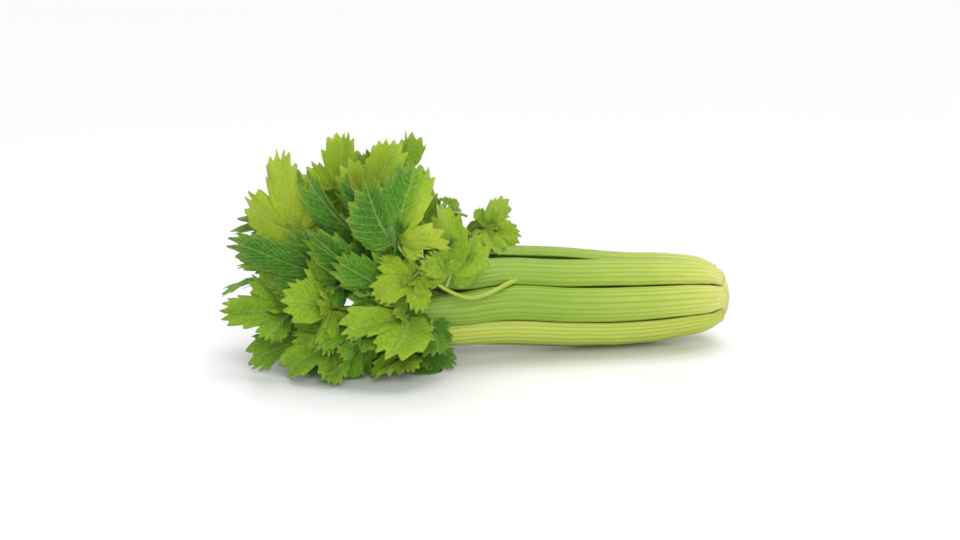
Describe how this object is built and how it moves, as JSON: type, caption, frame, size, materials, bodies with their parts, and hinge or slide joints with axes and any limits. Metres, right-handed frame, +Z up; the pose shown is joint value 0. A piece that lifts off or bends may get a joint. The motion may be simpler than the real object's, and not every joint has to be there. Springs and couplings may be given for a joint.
{
  "type": "head of celery",
  "caption": "Head of celery lying on its side, with a trimmed butt, nested ribbed stalks in three rings, and a leafy top of lobed, toothed leaflets.",
  "frame": {"origin": "middle of the head's box, on the surface that it lies on", "axes": "+X along the bundle from the leaves towards the trimmed butt, +Y across the head towards its back, +Z up"},
  "size_m": [0.4282, 0.1826, 0.1951],
  "materials": {
    "butt": "matte, moist, pale cream",
    "stalk": "satin, waxy, ribbed lengthways",
    "stem": "satin, waxy",
    "leaf": "soft sheen, veined"
  },
  "bodies": {
    "root": {"butt": "butt", "stalk_a": "stalk", "stalk_b": "stalk", "stalk_c": "stalk", "stalk_d": "stalk", "stalk_e": "stalk", "stalk_f": "stalk", "stalk_g": "stalk", "stalk_h": "stalk", "stalk_i": "stalk", "stalk_j": "stalk", "stalk_k": "stalk", "stalk_l": "stalk", "stalk_m": "stalk", "stalk_n": "stalk", "side_stem_a": "stem", "side_stem_c": "stem", "side_stem_f": "stem", "side_stem_g": "stem", "leaflet_a1": "leaf", "leaflet_a2": "leaf", "leaflet_a3": "leaf", "leaflet_a4": "leaf", "leaflet_a5": "leaf", "leaflet_a6": "leaf", "leaflet_b1": "leaf", "leaflet_b2": "leaf", "leaflet_b3": "leaf", "leaflet_b4": "leaf", "leaflet_b5": "leaf", "leaflet_c1": "leaf", "leaflet_c2": "leaf", "leaflet_c3": "leaf", "leaflet_c4": "leaf", "leaflet_d1": "leaf", "leaflet_d2": "leaf", "leaflet_d3": "leaf", "leaflet_e1": "leaf", "leaflet_e2": "leaf", "leaflet_e3": "leaf", "leaflet_f1": "leaf", "leaflet_f2": "leaf", "leaflet_f3": "leaf", "leaflet_f4": "leaf", "leaflet_g1": "leaf", "leaflet_g2": "leaf", "leaflet_g3": "leaf", "leaflet_g4": "leaf", "leaflet_g5": "leaf", "leaflet_h1": "leaf", "leaflet_h2": "leaf", "leaflet_i1": "leaf", "leaflet_i2": "leaf", "leaflet_i3": "leaf", "leaflet_j1": "leaf", "leaflet_k1": "leaf", "leaflet_k2": "leaf", "leaflet_l1": "leaf", "leaflet_m1": "leaf", "leaflet_n1": "leaf"}
  },
  "joints": []
}
